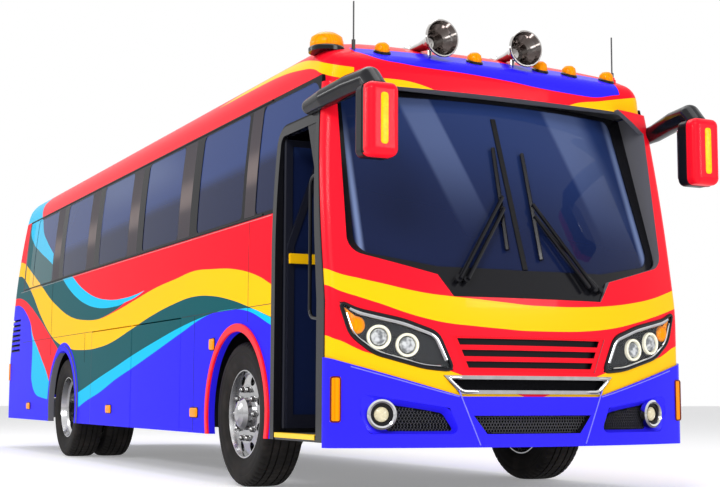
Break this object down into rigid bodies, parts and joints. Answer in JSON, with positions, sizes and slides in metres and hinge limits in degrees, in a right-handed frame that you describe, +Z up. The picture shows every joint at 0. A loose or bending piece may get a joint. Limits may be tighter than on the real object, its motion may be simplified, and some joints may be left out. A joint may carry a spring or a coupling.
{
  "type": "party bus",
  "caption": "Single-deck party bus with a raked windshield under a roof brow, folding entry door, luggage flaps, roof horns and twin rear tyres.",
  "frame": {"origin": "on the ground, in the middle of the overall box", "axes": "+Z up, -Y forward, +X the bus's left side"},
  "size_m": [2.544, 9.65, 3.03],
  "materials": {
    "paint_red": "glossy",
    "paint_blue": "glossy",
    "black_gloss": "glossy",
    "dark_frame": "satin",
    "tinted_glass": "glossy",
    "clear_lens": "glossy",
    "chrome": "polished",
    "grille_red": "glossy",
    "lamp_red": "glossy",
    "lamp_amber": "glossy",
    "rubber_black": "matt",
    "tyre": "matt",
    "polished": "polished",
    "chassis_black": "satin",
    "engine_grey": "rough",
    "floor": "matt",
    "dash": "matt",
    "seat_fabric": "matt"
  },
  "bodies": {
    "bus": {"air_horns": "chrome", "antennas": "rubber_black", "arch_lips_front": "paint_red", "chassis_crossings": "chassis_black", "chassis_rails": "chassis_black", "chrome_trim": "chrome", "dashboard": "dash", "door_frame": "dark_frame", "engine": "engine_grey", "entry_steps": "floor", "floor_deck": "floor", "front_axle": "chassis_black", "front_bumper": "paint_blue", "front_fascia": "paint_red", "grille": "grille_red", "grille_backs": "black_gloss", "headlamp_bowls": "black_gloss", "headlamp_lenses": "clear_lens", "luggage_lockers": "chassis_black", "marker_lamps": "lamp_amber", "mirror_arms": "black_gloss", "mirror_heads": "black_gloss", "rear_axle": "chassis_black", "rear_bumper": "paint_blue", "rear_lamps": "lamp_red", "rear_wall": "paint_red", "rear_window": "tinted_glass", "roof_cap": "paint_red", "roof_shell": "paint_red", "seats": "seat_fabric", "side_glass": "tinted_glass", "side_wall_left": "paint_red", "side_wall_right": "paint_red", "wheel_housings": "chassis_black", "window_band_left": "black_gloss", "window_band_right": "black_gloss", "windshield": "tinted_glass", "windshield_surround": "black_gloss", "wipers": "rubber_black"},
    "left_front_wheel": {"rim_front_left": "polished", "tyre_front_left": "tyre"},
    "right_front_wheel": {"rim_front_right": "polished", "tyre_front_right": "tyre"},
    "left_rear_wheels": {"rims_rear_left": "polished", "tyres_rear_left": "tyre"},
    "right_rear_wheels": {"rims_rear_right": "polished", "tyres_rear_right": "tyre"},
    "left_knuckle": {"knuckle_left": "chassis_black"},
    "right_knuckle": {"knuckle_right": "chassis_black"},
    "track_rod": {"tie_rod": "chassis_black"},
    "rear_door_panel": {"door_panel_rear": "dark_frame", "door_pane_rear": "tinted_glass"},
    "front_door_panel": {"door_panel_front": "dark_frame", "door_pane_front": "tinted_glass"},
    "left_front_flap": {"luggage_flap_left_front": "paint_red"},
    "left_rear_flap": {"luggage_flap_left_rear": "paint_red"},
    "right_front_flap": {"luggage_flap_right_front": "paint_red"},
    "right_rear_flap": {"luggage_flap_right_rear": "paint_red"},
    "rear_engine_door": {"engine_door": "paint_red"}
  },
  "joints": [
    {"name": "steer_right", "type": "hinge", "parent": "bus", "child": "right_knuckle", "pos_m": [-0.868, -2.87, 0.479], "axis": [0, 0, 1], "range_deg": [-35, 35]},
    {"name": "steer_left", "type": "hinge", "parent": "bus", "child": "left_knuckle", "pos_m": [0.868, -2.87, 0.479], "axis": [0, 0, 1], "range_deg": [-35, 35]},
    {"name": "track_rod_pin", "type": "hinge", "parent": "right_knuckle", "child": "track_rod", "pos_m": [-0.868, -2.67, 0.413], "axis": [0, 0, 1], "range_deg": [-35, 35]},
    {"name": "roll_front_left", "type": "hinge", "parent": "left_knuckle", "child": "left_front_wheel", "pos_m": [1.08, -2.87, 0.479], "axis": [1, 0, 0], "continuous": true},
    {"name": "roll_front_right", "type": "hinge", "parent": "right_knuckle", "child": "right_front_wheel", "pos_m": [-1.08, -2.87, 0.479], "axis": [1, 0, 0], "continuous": true},
    {"name": "roll_rear_left", "type": "hinge", "parent": "bus", "child": "left_rear_wheels", "pos_m": [0.924, 1.993, 0.479], "axis": [1, 0, 0], "continuous": true},
    {"name": "roll_rear_right", "type": "hinge", "parent": "bus", "child": "right_rear_wheels", "pos_m": [-0.924, 1.993, 0.479], "axis": [1, 0, 0], "continuous": true},
    {"name": "door_rear_panel", "type": "hinge", "parent": "bus", "child": "rear_door_panel", "pos_m": [-1.1837, -3.537, 1.3], "axis": [0, 0, -1], "range_deg": [0, 90]},
    {"name": "door_front_panel", "type": "hinge", "parent": "rear_door_panel", "child": "front_door_panel", "pos_m": [-0.8527, -3.555, 1.3], "axis": [0, 0, 1], "range_deg": [0, 180]},
    {"name": "flap_left_front", "type": "hinge", "parent": "bus", "child": "left_front_flap", "pos_m": [1.239, -1.03, 1.16], "axis": [0, -1, 0], "range_deg": [0, 85]},
    {"name": "flap_left_rear", "type": "hinge", "parent": "bus", "child": "left_rear_flap", "pos_m": [1.239, 0.278, 1.16], "axis": [0, -1, 0], "range_deg": [0, 85]},
    {"name": "flap_right_front", "type": "hinge", "parent": "bus", "child": "right_front_flap", "pos_m": [-1.239, -1.03, 1.16], "axis": [0, 1, 0], "range_deg": [0, 85]},
    {"name": "flap_right_rear", "type": "hinge", "parent": "bus", "child": "right_rear_flap", "pos_m": [-1.239, 0.278, 1.16], "axis": [0, 1, 0], "range_deg": [0, 85]},
    {"name": "engine_door_hinge", "type": "hinge", "parent": "bus", "child": "rear_engine_door", "pos_m": [0, 4.70765, 1.33], "axis": [1, 0, 0], "range_deg": [0, 80]}
  ],
  "couplings": [
    {"joint": "steer_left", "follows": "steer_right", "ratio": 1},
    {"joint": "track_rod_pin", "follows": "steer_right", "ratio": -1},
    {"joint": "door_front_panel", "follows": "door_rear_panel", "ratio": 2}
  ]
}
